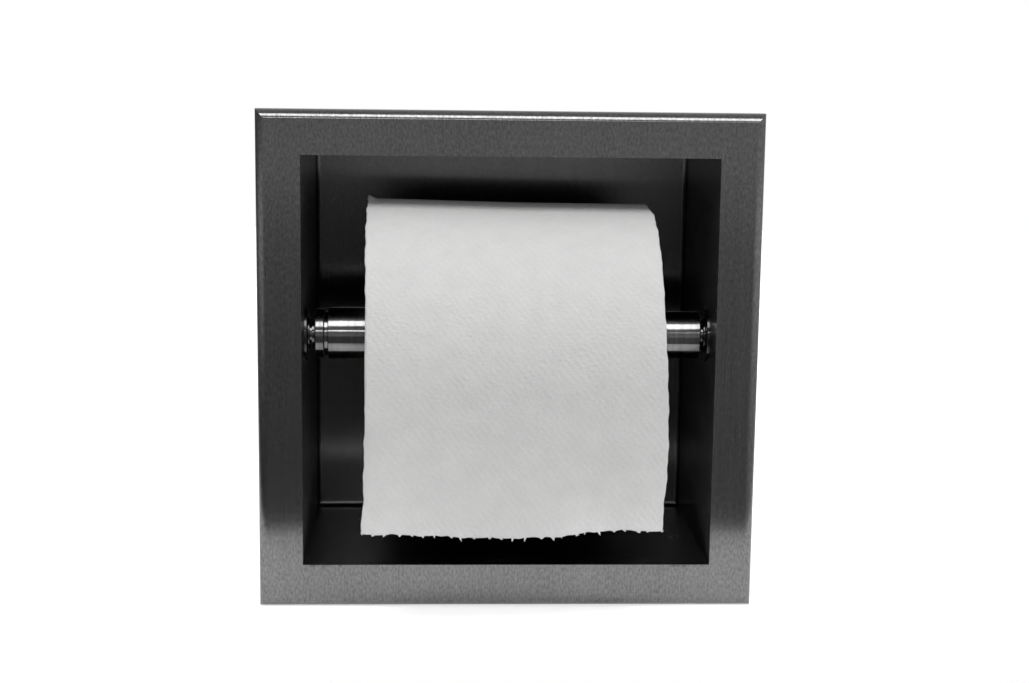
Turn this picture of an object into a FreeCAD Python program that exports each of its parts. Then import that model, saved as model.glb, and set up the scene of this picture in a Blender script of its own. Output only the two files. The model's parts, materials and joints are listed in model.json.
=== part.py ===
"""Recessed toilet paper holder: sheet steel box, wall clamp, telescoping sprung spindle and a paper roll.

The frame's origin is the centre of the wall opening, on the wall's face. +X is right, +Y goes into the
wall and +Z is up. Lengths are in millimetres.
"""
import FreeCAD, Part
from FreeCAD import Vector as V

import math
import os

OUT = "parts"
PAST = 1.0                 # how far a cutting tool reaches past what it cuts
NEAR = 0.01                # how close an edge lies to a place to count as there

# ---- driving dimensions ----
# face plate and recess
PLATE = 160.0              # side of the square face plate
PLATE_PROUD = 6.0          # how far its front stands off the wall
PLATE_SHEET = 0.9
PLATE_EDGE_R = 3.0         # outer radius of the edges bent back to the wall
OPENING = 131.8            # side of the square opening, and of the recess inside
RECESS_SHEET = 0.8
RECESS_BACK = 70.5         # inner face of the back wall
RECESS_EDGE_R = 1.6        # inner radius of the pan's bends
FLANGE = 9.0               # width of the pan's flange behind the face plate

# spindle
AXIS_Y = 16.0
AXIS_Z = 6.4
OUTER_TUBE_D = 17.2
INNER_TUBE_D = 15.7
TUBE_FIT = 0.10            # radial clearance between the two tubes
INNER_WALL = 0.65
OUTER_TUBE_X = (-58.5, 22.0)
INNER_TUBE_X = (-14.0, 63.2)
LEFT_CAP_X = -62.8
LEFT_CAP_RIM = 3.2         # length of the cap's visible rim
LEFT_NECK_D = 14.6
CAP_D = 16.2
PLUG_DEPTH = 8.0           # how deep each end plug sits in its tube
PIN_D = 6.7
PIN_FIT = 0.07             # radial clearance of a pin in its socket
PIN_TIP_X = 68.7
PIN_SHOULDER_D = 9.0
PIN_SHOULDER = 0.9
PIN_TIP_CHAMFER = 0.8
OUTER_TUBE_RIM_R = 0.35
INNER_TUBE_RIM_R = 0.4
CAP_RIM_R = 0.5
PLUG_SETBACK = 0.4         # how far the inner half's plug sits inside its tube's end
TRAVEL = 12.0              # how far the inner half slides into the outer half

# spring and stop
WIRE_D = 1.0
SPRING_MEAN_D = 11.4
SPRING_TURNS = 15
STOP_X = -6.0
STOP_D = 2.4
STOP_SPARE = 1.5           # slot length past the rivet when the spindle is in its sockets
STOP_FIT = 0.3             # clearance of the rivet in its slot, on each side
STOP_SETBACK = 0.1         # how far the rivet stays under the outer tube's surface

# sockets
SOCKET_DISC_D = 18.0
SOCKET_DISC = 0.8
SOCKET_COLLAR_D = 10.6
SOCKET_COLLAR = 0.7
SOCKET_BARREL_D = 10.0
SOCKET_END_X = 69.7
SOCKET_BORE_END_X = 69.0
SOCKET_RIM_R = 0.3
LOCK_WASHER_D = 17.0
LOCK_WASHER = 0.8

# wall clamp
BOARD = 12.7               # wall board between the face plate's rim and the clamp's feet
STRAP_W = 25.0
STRAP = 2.0
STRAP_LEG_Z = 68.7         # inner face of each leg
STRAP_WEB_Y = 75.0         # front face of the web
FOOT_END_Z = 78.5
STRAP_BEND_R = 3.0         # outer radius of its bends
FOOT_BEND_R = 1.8          # outer radius of the bend into each foot
FOOT_CORNER_R = 4.0
SCREW_Z = 40.0
SCREW_D = 4.0
SCREW_LENGTH = 25.0
SCREW_HOLE_D = 4.6
SCREW_HEAD_D = 8.0
SCREW_HEAD = 2.9
SCREW_CROWN_R = 1.5
SCREW_TIP_CHAMFER = 0.5
CROSS_DEPTH = 1.5          # the cross recess in the head
CROSS_HALF_LENGTH = 2.2
CROSS_HALF_WIDTH = 0.45
WASHER_D = 9.0
WASHER = 0.8
NUT_FLATS = 7.0
NUT = 3.2
NUT_FIT = 0.05

# paper
PAPER_X = (-46.1, 46.9)
CORE_BORE_R = 19.5
CORE_WALL = 1.2
ROLL_R = 53.2
HANG_GAP = 0.3             # the core's clearance over the spindle that it hangs on
SHEET = 0.5
SHEET_GAP = 0.3            # clearance between the roll and the loose sheet
SHEET_END_Z = -47.0

# ---- worked out ----
HALF_OPENING = OPENING / 2.0
PAN_OUT = HALF_OPENING + RECESS_SHEET
FLANGE_FRONT = PLATE_SHEET - PLATE_PROUD
OUTER_BORE_R = INNER_TUBE_D / 2.0 + TUBE_FIT
INNER_BORE_R = INNER_TUBE_D / 2.0 - INNER_WALL
ROLL_Z = AXIS_Z + OUTER_TUBE_D / 2.0 - CORE_BORE_R + HANG_GAP
CLAMP_FOOT_Y = BOARD
SCREW_SEAT_Y = RECESS_BACK - WASHER


# ---- shape helpers ----
def block(x0, x1, y0, y1, z0, z1):
    """A box from its low and high corners."""
    return Part.makeBox(x1 - x0, y1 - y0, z1 - z0, V(x0, y0, z0))


def square_block(half, y0, y1):
    """A square box about the Y axis."""
    return block(-half, half, y0, y1, -half, half)


def rod_x(radius, x0, x1, y=AXIS_Y, z=AXIS_Z):
    """A solid cylinder along X."""
    return Part.makeCylinder(radius, x1 - x0, V(x0, y, z), V(1, 0, 0))


def rod_y(radius, y0, y1, x=0.0, z=0.0):
    """A solid cylinder along Y."""
    return Part.makeCylinder(radius, y1 - y0, V(x, y0, z), V(0, 1, 0))


def tube_x(outer_r, inner_r, x0, x1, y=AXIS_Y, z=AXIS_Z):
    """A round tube along X."""
    return rod_x(outer_r, x0, x1, y, z).cut(rod_x(inner_r, x0, x1, y, z))


def edges_where(shape, test):
    """The edges whose middle point passes a test."""
    return [e for e in shape.Edges if test(e.valueAt((e.FirstParameter + e.LastParameter) / 2.0))]


def mirror_x(shape):
    """The same shape on the other side of the YZ plane."""
    return shape.mirror(V(0, 0, 0), V(1, 0, 0))


def circles_at_x(shape, x_values):
    """The circular edges that lie at the given X positions."""
    return [
        e for e in shape.Edges
        if isinstance(e.Curve, Part.Circle) and any(abs(e.CenterOfMass.x - x) < NEAR for x in x_values)
    ]


def circles_at_y(shape, y):
    """The circular edges that lie at a given Y position."""
    return [e for e in shape.Edges if isinstance(e.Curve, Part.Circle) and abs(e.CenterOfMass.y - y) < NEAR]


def round_rims(shape, radius, x_values):
    """Round the circular edges that lie at the given X positions."""
    return shape.makeFillet(radius, circles_at_x(shape, x_values))


# ---- housing ----
def face_plate():
    """Square frame whose outer edges are bent back to the wall, with sharp mitred corners."""
    half = PLATE / 2.0
    skin = square_block(half, -PLATE_PROUD, 0.0)
    front = edges_where(skin, lambda p: abs(p.y + PLATE_PROUD) < NEAR)
    skin = skin.makeFillet(PLATE_EDGE_R, front)
    inner_half = half - PLATE_SHEET
    hollow = square_block(inner_half, FLANGE_FRONT, PAST)
    inner_front = edges_where(hollow, lambda p: abs(p.y - FLANGE_FRONT) < NEAR)
    hollow = hollow.makeFillet(PLATE_EDGE_R - PLATE_SHEET, inner_front)
    opening = square_block(HALF_OPENING, -PLATE_PROUD - PAST, PAST)
    return skin.cut(hollow).cut(opening)


def recess_box():
    """One folded pan with a flange that is spot welded behind the face plate."""
    back = RECESS_BACK + RECESS_SHEET
    outer = square_block(PAN_OUT, FLANGE_FRONT, back)
    outer = outer.makeFillet(RECESS_EDGE_R + RECESS_SHEET, edges_where(outer, lambda p: p.y > back - NEAR))
    inner = square_block(HALF_OPENING, FLANGE_FRONT - PAST, RECESS_BACK)
    inner = inner.makeFillet(RECESS_EDGE_R, edges_where(inner, lambda p: p.y > RECESS_BACK - NEAR))
    flange = square_block(HALF_OPENING + FLANGE, FLANGE_FRONT, FLANGE_FRONT + RECESS_SHEET)
    pan = outer.fuse(flange).cut(inner)
    holes = [rod_x(SOCKET_BARREL_D / 2.0, -PAN_OUT - PAST, PAN_OUT + PAST)]
    for z in (-SCREW_Z, SCREW_Z):
        holes.append(rod_y(SCREW_HOLE_D / 2.0, RECESS_BACK - PAST, back + PAST, z=z))
    for hole in holes:
        pan = pan.cut(hole)
    return pan.removeSplitter()


def right_socket():
    """Flanged blind bush that one end pin of the spindle springs into."""
    disc_x = HALF_OPENING - SOCKET_DISC
    collar_x = disc_x - SOCKET_COLLAR
    bush = rod_x(SOCKET_DISC_D / 2.0, disc_x, HALF_OPENING)
    bush = bush.fuse(rod_x(SOCKET_COLLAR_D / 2.0, collar_x, HALF_OPENING))
    bush = bush.fuse(rod_x(SOCKET_BARREL_D / 2.0, HALF_OPENING, SOCKET_END_X))
    bush = bush.removeSplitter()
    bush = round_rims(bush, SOCKET_RIM_R, (disc_x, collar_x))
    return bush.cut(rod_x(PIN_D / 2.0 + PIN_FIT, collar_x - PAST, SOCKET_BORE_END_X))


def socket_lock_washers():
    """The two push-on washers that hold the sockets from outside the box."""
    washer = tube_x(LOCK_WASHER_D / 2.0, SOCKET_BARREL_D / 2.0, PAN_OUT, PAN_OUT + LOCK_WASHER)
    return Part.makeCompound([washer, mirror_x(washer)])


def clamp_screw_washers():
    """The two flat washers under the clamp screws' heads."""
    washers = []
    for z in (-SCREW_Z, SCREW_Z):
        washer = rod_y(WASHER_D / 2.0, SCREW_SEAT_Y, RECESS_BACK, z=z)
        washers.append(washer.cut(rod_y(SCREW_HOLE_D / 2.0, SCREW_SEAT_Y, RECESS_BACK, z=z)))
    return Part.makeCompound(washers)


# ---- wall clamp ----
def clamp_strap():
    """Strap behind the back wall, over the top and bottom of the box, with feet behind the wall board."""
    leg_out = STRAP_LEG_Z + STRAP
    web_back = STRAP_WEB_Y + STRAP
    half_w = STRAP_W / 2.0
    outer = block(-half_w, half_w, CLAMP_FOOT_Y, web_back, -leg_out, leg_out)
    outer = outer.makeFillet(
        STRAP_BEND_R,
        edges_where(outer, lambda p: abs(p.y - web_back) < NEAR and abs(abs(p.z) - leg_out) < NEAR),
    )
    inner = block(-half_w - PAST, half_w + PAST, CLAMP_FOOT_Y - PAST, STRAP_WEB_Y, -STRAP_LEG_Z, STRAP_LEG_Z)
    inner = inner.makeFillet(
        STRAP_BEND_R - STRAP,
        edges_where(inner, lambda p: abs(p.y - STRAP_WEB_Y) < NEAR and abs(abs(p.z) - STRAP_LEG_Z) < NEAR),
    )
    strap = outer.cut(inner)
    for side in (-1.0, 1.0):
        z0, z1 = sorted((side * STRAP_LEG_Z, side * FOOT_END_Z))
        foot = block(-half_w, half_w, CLAMP_FOOT_Y, CLAMP_FOOT_Y + STRAP, z0, z1)
        heel = edges_where(
            foot, lambda p: abs(p.y - CLAMP_FOOT_Y) < NEAR and abs(p.z - side * STRAP_LEG_Z) < NEAR
        )
        strap = strap.fuse(foot.makeFillet(FOOT_BEND_R, heel))
        corners = edges_where(
            strap, lambda p: abs(abs(p.x) - half_w) < NEAR and abs(p.z - side * FOOT_END_Z) < NEAR
        )
        strap = strap.makeFillet(FOOT_CORNER_R, corners)
    strap = strap.removeSplitter()
    for z in (-SCREW_Z, SCREW_Z):
        strap = strap.cut(rod_y(SCREW_HOLE_D / 2.0, STRAP_WEB_Y - PAST, web_back + PAST, z=z))
    return strap


def hexagon(flats, y0, y1, z):
    """A hexagonal prism along Y."""
    corner_r = flats / math.sqrt(3.0)
    corners = []
    for k in range(7):
        angle = math.radians(60.0 * k)
        corners.append(V(corner_r * math.cos(angle), y0, z + corner_r * math.sin(angle)))
    return Part.Face(Part.makePolygon(corners)).extrude(V(0, y1 - y0, 0))


def clamp_nuts():
    """The two nuts welded to the back of the clamp's web."""
    y0 = STRAP_WEB_Y + STRAP
    nuts = []
    for z in (-SCREW_Z, SCREW_Z):
        nut = hexagon(NUT_FLATS, y0, y0 + NUT, z)
        nuts.append(nut.cut(rod_y(SCREW_D / 2.0 + NUT_FIT, y0 - PAST, y0 + NUT + PAST, z=z)))
    return Part.makeCompound(nuts)


def clamp_screw(z):
    """Pan head machine screw with a cross recess, its head inside the box and its shank in a clamp nut."""
    head_y = SCREW_SEAT_Y - SCREW_HEAD
    tip_y = SCREW_SEAT_Y + SCREW_LENGTH
    head = rod_y(SCREW_HEAD_D / 2.0, head_y, SCREW_SEAT_Y, z=z)
    head = head.makeFillet(SCREW_CROWN_R, circles_at_y(head, head_y))
    shank = rod_y(SCREW_D / 2.0, SCREW_SEAT_Y, tip_y, z=z)
    screw = head.fuse(shank.makeChamfer(SCREW_TIP_CHAMFER, circles_at_y(shank, tip_y)))
    y0, y1 = head_y - PAST, head_y + CROSS_DEPTH
    for half_x, half_z in ((CROSS_HALF_LENGTH, CROSS_HALF_WIDTH), (CROSS_HALF_WIDTH, CROSS_HALF_LENGTH)):
        screw = screw.cut(block(-half_x, half_x, y0, y1, z - half_z, z + half_z))
    return screw


# ---- spindle, outer half ----
def outer_tube():
    """The larger tube, with rounded rims and a hole for the stop rivet."""
    x0, x1 = OUTER_TUBE_X
    tube = rod_x(OUTER_TUBE_D / 2.0, x0, x1)
    tube = round_rims(tube, OUTER_TUBE_RIM_R, (x0, x1))
    tube = tube.cut(rod_x(OUTER_BORE_R, x0 - PAST, x1 + PAST))
    return tube.cut(stop_hole_tool())


def stop_hole_tool():
    """A rod through the outer tube's lower wall, where the stop rivet sits."""
    return Part.makeCylinder(STOP_D / 2.0, OUTER_TUBE_D, V(STOP_X, AXIS_Y, AXIS_Z), V(0, 0, -1))


def stop_rivet():
    """Small rivet in the outer tube that runs in the inner tube's slot and keeps the halves together."""
    reach = INNER_TUBE_D / 2.0 - INNER_WALL
    length = OUTER_TUBE_D / 2.0 - STOP_SETBACK - reach
    return Part.makeCylinder(STOP_D / 2.0, length, V(STOP_X, AXIS_Y, AXIS_Z - reach), V(0, 0, -1))


def left_end_cap():
    """Turned cap: a rim, a narrow neck and a plug pressed into the outer tube."""
    rim_end = LEFT_CAP_X + LEFT_CAP_RIM
    tube_x0 = OUTER_TUBE_X[0]
    cap = rod_x(CAP_D / 2.0, LEFT_CAP_X, rim_end)
    cap = round_rims(cap, CAP_RIM_R, (LEFT_CAP_X, rim_end))
    cap = cap.fuse(rod_x(LEFT_NECK_D / 2.0, rim_end - CAP_RIM_R, tube_x0))
    cap = cap.fuse(rod_x(OUTER_BORE_R, tube_x0, tube_x0 + PLUG_DEPTH))
    return cap.cut(rod_x(PIN_D / 2.0, LEFT_CAP_X - PAST, tube_x0 + PLUG_DEPTH + PAST))


def end_pin(cap_face, inner_end):
    """End pin for the right side: a shoulder against the cap, a shank, and a chamfered tip."""
    pin = rod_x(PIN_D / 2.0, inner_end, PIN_TIP_X)
    pin = pin.makeChamfer(PIN_TIP_CHAMFER, circles_at_x(pin, (PIN_TIP_X,)))
    return pin.fuse(rod_x(PIN_SHOULDER_D / 2.0, cap_face, cap_face + PIN_SHOULDER)).removeSplitter()


def left_end_pin():
    """The outer half's end pin, pressed through the end cap."""
    inner_end = -(OUTER_TUBE_X[0] + PLUG_DEPTH)
    return mirror_x(end_pin(-LEFT_CAP_X, inner_end))


def spindle_spring():
    """Compression spring between the two end plugs."""
    x0 = OUTER_TUBE_X[0] + PLUG_DEPTH + WIRE_D / 2.0
    x1 = INNER_TUBE_X[1] - PLUG_DEPTH - WIRE_D / 2.0
    height = x1 - x0
    helix = Part.makeHelix(height / SPRING_TURNS, height, SPRING_MEAN_D / 2.0)
    start = V(SPRING_MEAN_D / 2.0, 0, 0)
    ring = Part.Wire(Part.Circle(start, V(0, 1, 0), WIRE_D / 2.0).toShape())
    coil = Part.Wire(helix).makePipeShell([ring], True, True)
    spring = Part.Solid(coil) if coil.ShapeType == "Shell" else coil
    spring.rotate(V(0, 0, 0), V(0, 1, 0), 90)
    spring.translate(V(x0, AXIS_Y, AXIS_Z))
    return spring


# ---- spindle, inner half ----
def inner_tube():
    """The smaller tube, with a slot for the stop rivet."""
    x0, x1 = INNER_TUBE_X
    tube = rod_x(INNER_TUBE_D / 2.0, x0, x1)
    tube = round_rims(tube, INNER_TUBE_RIM_R, (x1,))
    tube = tube.cut(rod_x(INNER_BORE_R, x0 - PAST, x1 + PAST))
    half = STOP_D / 2.0 + STOP_FIT
    low = AXIS_Z - INNER_TUBE_D
    slot = block(STOP_X - STOP_SPARE, STOP_X + TRAVEL, AXIS_Y - half, AXIS_Y + half, low, AXIS_Z)
    for x in (STOP_X - STOP_SPARE, STOP_X + TRAVEL):
        slot = slot.fuse(Part.makeCylinder(half, INNER_TUBE_D, V(x, AXIS_Y, low), V(0, 0, 1)))
    return tube.cut(slot)


def right_end_plug():
    """Plug pressed into the inner tube, slightly set back from its end."""
    x1 = INNER_TUBE_X[1] - PLUG_SETBACK
    x0 = INNER_TUBE_X[1] - PLUG_DEPTH
    return tube_x(INNER_BORE_R, PIN_D / 2.0, x0, x1)


def right_end_pin():
    """The inner half's end pin, pressed through the end plug."""
    return end_pin(INNER_TUBE_X[1] - PLUG_SETBACK, INNER_TUBE_X[1] - PLUG_DEPTH)


# ---- paper ----
def roll_core():
    """Cardboard tube that hangs on the spindle."""
    x0, x1 = PAPER_X
    return tube_x(CORE_BORE_R + CORE_WALL, CORE_BORE_R, x0, x1, z=ROLL_Z)


def paper_roll():
    """The wound paper."""
    x0, x1 = PAPER_X
    return tube_x(ROLL_R, CORE_BORE_R + CORE_WALL, x0, x1, z=ROLL_Z)


def hanging_sheet():
    """The loose end of the paper: over the front quarter of the roll, then straight down."""
    x0, x1 = PAPER_X
    inner_r = ROLL_R + SHEET_GAP
    outer_r = inner_r + SHEET
    wrap = tube_x(outer_r, inner_r, x0, x1, z=ROLL_Z)
    reach = outer_r + PAST
    wrap = wrap.common(block(x0, x1, AXIS_Y - reach, AXIS_Y, ROLL_Z, ROLL_Z + reach))
    drop = block(x0, x1, AXIS_Y - outer_r, AXIS_Y - inner_r, SHEET_END_Z, ROLL_Z)
    return wrap.fuse(drop).removeSplitter()


NODES = {
    "face_plate": face_plate,
    "recess_box": recess_box,
    "left_socket": lambda: mirror_x(right_socket()),
    "right_socket": right_socket,
    "socket_lock_washers": socket_lock_washers,
    "clamp_screw_washers": clamp_screw_washers,
    "clamp_strap": clamp_strap,
    "clamp_nuts": clamp_nuts,
    "upper_clamp_screw": lambda: clamp_screw(SCREW_Z),
    "lower_clamp_screw": lambda: clamp_screw(-SCREW_Z),
    "outer_tube": outer_tube,
    "left_end_cap": left_end_cap,
    "left_end_pin": left_end_pin,
    "stop_rivet": stop_rivet,
    "spindle_spring": spindle_spring,
    "inner_tube": inner_tube,
    "right_end_plug": right_end_plug,
    "right_end_pin": right_end_pin,
    "roll_core": roll_core,
    "paper_roll": paper_roll,
    "hanging_sheet": hanging_sheet,
}


def main():
    """Build every node, check it, and write it as a STEP file."""
    os.makedirs(OUT, exist_ok=True)
    for name, build in NODES.items():
        shape = build()
        solids = shape.Solids
        volume = sum(s.Volume for s in solids)
        print(f"{name}: {len(solids)} solid(s), {volume:.1f} mm3, valid {shape.isValid()}")
        if len(solids) == 1:
            shape = solids[0]
        shape.exportStep(os.path.join(OUT, f"{name}.step"))
    print(f"roll centre height {ROLL_Z:.2f} mm, spring wire {WIRE_D} mm")


main()
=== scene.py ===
"""Looks for a recessed toilet paper holder: brushed sheet steel, a bright telescoping roller and tissue paper.

Everything is in metres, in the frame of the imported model: +X to the right, +Y into the wall, +Z up.
"""
from __future__ import annotations

import json
import logging
import math
import random
from collections.abc import Callable, Sequence
from dataclasses import dataclass, field
from enum import Enum

import bmesh
import bpy
from mathutils import Matrix, Quaternion, Vector

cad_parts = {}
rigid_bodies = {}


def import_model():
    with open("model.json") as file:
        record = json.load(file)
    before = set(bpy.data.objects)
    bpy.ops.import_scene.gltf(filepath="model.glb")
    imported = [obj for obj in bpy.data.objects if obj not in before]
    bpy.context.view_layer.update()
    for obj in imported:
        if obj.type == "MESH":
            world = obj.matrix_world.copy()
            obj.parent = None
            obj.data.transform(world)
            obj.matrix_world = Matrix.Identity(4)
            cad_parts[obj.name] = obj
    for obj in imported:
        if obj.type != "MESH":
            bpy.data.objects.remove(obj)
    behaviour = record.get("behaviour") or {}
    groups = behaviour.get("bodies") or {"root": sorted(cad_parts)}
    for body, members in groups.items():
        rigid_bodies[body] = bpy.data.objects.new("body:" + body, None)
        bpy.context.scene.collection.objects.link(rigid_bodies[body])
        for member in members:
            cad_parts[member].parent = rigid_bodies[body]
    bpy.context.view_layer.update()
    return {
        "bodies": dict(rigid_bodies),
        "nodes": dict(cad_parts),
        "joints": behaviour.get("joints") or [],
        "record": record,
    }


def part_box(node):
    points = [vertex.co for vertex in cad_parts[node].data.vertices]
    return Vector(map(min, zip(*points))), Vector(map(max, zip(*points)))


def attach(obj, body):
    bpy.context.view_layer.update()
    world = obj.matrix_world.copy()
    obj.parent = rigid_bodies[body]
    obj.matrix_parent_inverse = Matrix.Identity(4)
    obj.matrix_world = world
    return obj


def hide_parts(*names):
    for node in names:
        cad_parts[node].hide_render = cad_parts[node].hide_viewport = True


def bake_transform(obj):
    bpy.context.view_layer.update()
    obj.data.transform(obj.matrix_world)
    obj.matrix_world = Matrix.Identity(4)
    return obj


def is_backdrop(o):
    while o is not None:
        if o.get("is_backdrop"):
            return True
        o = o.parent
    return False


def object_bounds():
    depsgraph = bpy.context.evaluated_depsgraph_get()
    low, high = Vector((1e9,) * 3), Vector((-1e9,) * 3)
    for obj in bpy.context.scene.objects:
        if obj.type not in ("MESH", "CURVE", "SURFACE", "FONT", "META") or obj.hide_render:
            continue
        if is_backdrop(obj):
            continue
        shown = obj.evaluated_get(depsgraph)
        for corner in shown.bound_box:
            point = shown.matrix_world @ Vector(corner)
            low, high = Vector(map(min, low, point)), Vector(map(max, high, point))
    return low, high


LOG = logging.getLogger("holder")
Socket = bpy.types.NodeSocket
NodeTree = bpy.types.NodeTree
Material = bpy.types.Material
Object = bpy.types.Object
MM = 0.001
NOISE_RANGE = (0.3, 0.7)
FLAT_MAP = "flat"


class Body(str, Enum):
    """The rigid bodies that new pieces ride on."""

    HOUSING = "housing"
    UPPER_SCREW = "upper_screw"
    LOWER_SCREW = "lower_screw"
    SPINDLE_OUTER = "spindle_outer"
    SPINDLE_INNER = "spindle_inner"
    ROLL = "roll"


class Slot(str, Enum):
    """The record's material slots that new pieces use."""

    ZINC = "zinc_steel"
    SPRING = "spring_steel"
    BOARD = "core_board"
    WOUND = "wound_paper"
    TISSUE = "tissue_paper"


# ---------------------------------------------------------------- shader nodes


class Shader:
    """A small wrapper that adds and links shader nodes in one material or world."""

    def __init__(self, tree: NodeTree) -> None:
        """Start from an empty tree."""
        self.tree = tree
        tree.nodes.clear()

    def node(self, kind: str, **settings: object) -> bpy.types.Node:
        """Add a node.

        Args:
            kind: the node's type name.
            settings: attributes to set on it.

        Returns:
            The new node.
        """
        made = self.tree.nodes.new(kind)
        for key, value in settings.items():
            setattr(made, key, value)
        return made

    def link(self, source: Socket, target: Socket) -> None:
        """Join two sockets."""
        self.tree.links.new(source, target)

    def feed(self, socket: Socket, value: object) -> None:
        """Link a socket to another socket, or set its value.

        Args:
            socket: the socket to fill.
            value: another socket or a plain value.
        """
        if isinstance(value, Socket):
            self.link(value, socket)
        else:
            socket.default_value = value

    def math(self, operation: str, *values: object) -> Socket:
        """A Math node's result.

        Args:
            operation: the operation's name.
            values: a number or a socket for each input.

        Returns:
            The result's socket.
        """
        made = self.node("ShaderNodeMath", operation=operation)
        for socket, value in zip(made.inputs, values):
            self.feed(socket, value)
        return made.outputs[0]

    def vector_math(self, operation: str, *values: object) -> Socket:
        """A Vector Math node's first result.

        Args:
            operation: the operation's name.
            values: a number or a socket for each input.

        Returns:
            The result's socket.
        """
        made = self.node("ShaderNodeVectorMath", operation=operation)
        for socket, value in zip(made.inputs, values):
            self.feed(socket, value)
        return made.outputs[0]

    def mix_number(self, factor: object, low: object, high: object) -> Socket:
        """A blend of two numbers.

        Args:
            factor: how far from the first to the second, from 0 to 1.
            low: the first.
            high: the second.

        Returns:
            The blend's socket.
        """
        made = self.node("ShaderNodeMix", data_type="FLOAT")
        for socket, value in zip(made.inputs[:1] + made.inputs[2:4], (factor, low, high)):
            self.feed(socket, value)
        return made.outputs[0]

    def mix_color(self, factor: object, low: object, high: object) -> Socket:
        """A blend of two colours.

        Args:
            factor: how far from the first to the second, from 0 to 1.
            low: the first.
            high: the second.

        Returns:
            The blend's socket.
        """
        made = self.node("ShaderNodeMix", data_type="RGBA")
        for socket, value in zip((made.inputs[0], made.inputs[6], made.inputs[7]), (factor, low, high)):
            self.feed(socket, value)
        return made.outputs[2]

    def object_point(self, scale: Sequence[float] = (1, 1, 1),
                     move: Sequence[float] = (0, 0, 0)) -> Socket:
        """Object coordinates through a Mapping node.

        Args:
            scale: the scale along each axis.
            move: what is added to the point.

        Returns:
            The point's socket.
        """
        mapping = self.node("ShaderNodeMapping")
        self.link(self.node("ShaderNodeTexCoord").outputs["Object"], mapping.inputs["Vector"])
        mapping.inputs["Scale"].default_value = scale
        mapping.inputs["Location"].default_value = move
        return mapping.outputs[0]

    def axes(self, vector: Socket) -> tuple[Socket, ...]:
        """The X, Y and Z of a vector.

        Args:
            vector: the vector's socket.

        Returns:
            Three sockets.
        """
        parts = self.node("ShaderNodeSeparateXYZ")
        self.link(vector, parts.inputs[0])
        return tuple(parts.outputs)

    def noise(self, point: Socket, scale: float, detail: float = 3.0,
              roughness: float = 0.5) -> Socket:
        """A Noise Texture's value.

        Args:
            point: where the noise is read.
            scale: how fine it is.
            detail: how many layers.
            roughness: how strong its fine layers are.

        Returns:
            The value's socket.
        """
        made = self.node("ShaderNodeTexNoise")
        self.link(point, made.inputs["Vector"])
        made.inputs["Scale"].default_value = scale
        made.inputs["Detail"].default_value = detail
        made.inputs["Roughness"].default_value = roughness
        return made.outputs[0]

    def ramp(self, value: Socket, low: float, high: float, out_low: float = 0.0,
             out_high: float = 1.0) -> Socket:
        """A clamped Map Range of a value.

        Args:
            value: the value.
            low: the lower end of its range.
            high: the upper end of its range.
            out_low: what the lower end becomes.
            out_high: what the upper end becomes.

        Returns:
            The mapped value's socket.
        """
        made = self.node("ShaderNodeMapRange")
        for name, number in (("From Min", low), ("From Max", high), ("To Min", out_low), ("To Max", out_high)):
            made.inputs[name].default_value = number
        self.link(value, made.inputs["Value"])
        return made.outputs[0]

    def spread(self, noise: Socket, out_low: float = 0.0,
               out_high: float = 1.0) -> Socket:
        """The range that most of a noise lies in, mapped to another range."""
        return self.ramp(noise, *NOISE_RANGE, out_low, out_high)

    def tinted(self, factor: object, color: Sequence[float], dark: float, light: float) -> Socket:
        """A blend from a darker to a lighter tint of one colour."""
        tints = [tuple(min(1.0, channel * share) for channel in color) + (1.0,) for share in (dark, light)]
        return self.mix_color(factor, *tints)

    def bump(self, height: Socket, strength: float, distance: float,
             normal: Socket | None = None) -> Socket:
        """A Bump node's normal.

        Args:
            height: the height's socket.
            strength: from 0 to 1.
            distance: how high the bumps are, in metres.
            normal: the normal to add them to.

        Returns:
            The normal's socket.
        """
        made = self.node("ShaderNodeBump")
        made.inputs["Strength"].default_value = strength
        made.inputs["Distance"].default_value = distance
        self.link(height, made.inputs["Height"])
        if normal is not None:
            self.link(normal, made.inputs["Normal"])
        return made.outputs[0]


def blank_material(name: str) -> tuple[Material, Shader, bpy.types.Node]:
    """A material with one Principled shader.

    Args:
        name: the material's name.

    Returns:
        The material, its node wrapper and the Principled node.
    """
    material = bpy.data.materials.new(name)
    material.use_nodes = True
    shader = Shader(material.node_tree)
    principled = shader.node("ShaderNodeBsdfPrincipled")
    output = shader.node("ShaderNodeOutputMaterial")
    shader.link(principled.outputs[0], output.inputs["Surface"])
    return material, shader, principled


def set_inputs(node: bpy.types.Node, **values: object) -> None:
    """Set a node's own sockets, named with underscores for spaces."""
    for key, value in values.items():
        node.inputs[key.replace("_", " ")].default_value = value


# ---------------------------------------------------------------- finishes


class Seen(Enum):
    """Which surfaces a light works on."""

    MIRRORED = "mirrored by the metal"
    MATT = "lights paper and floor"


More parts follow.
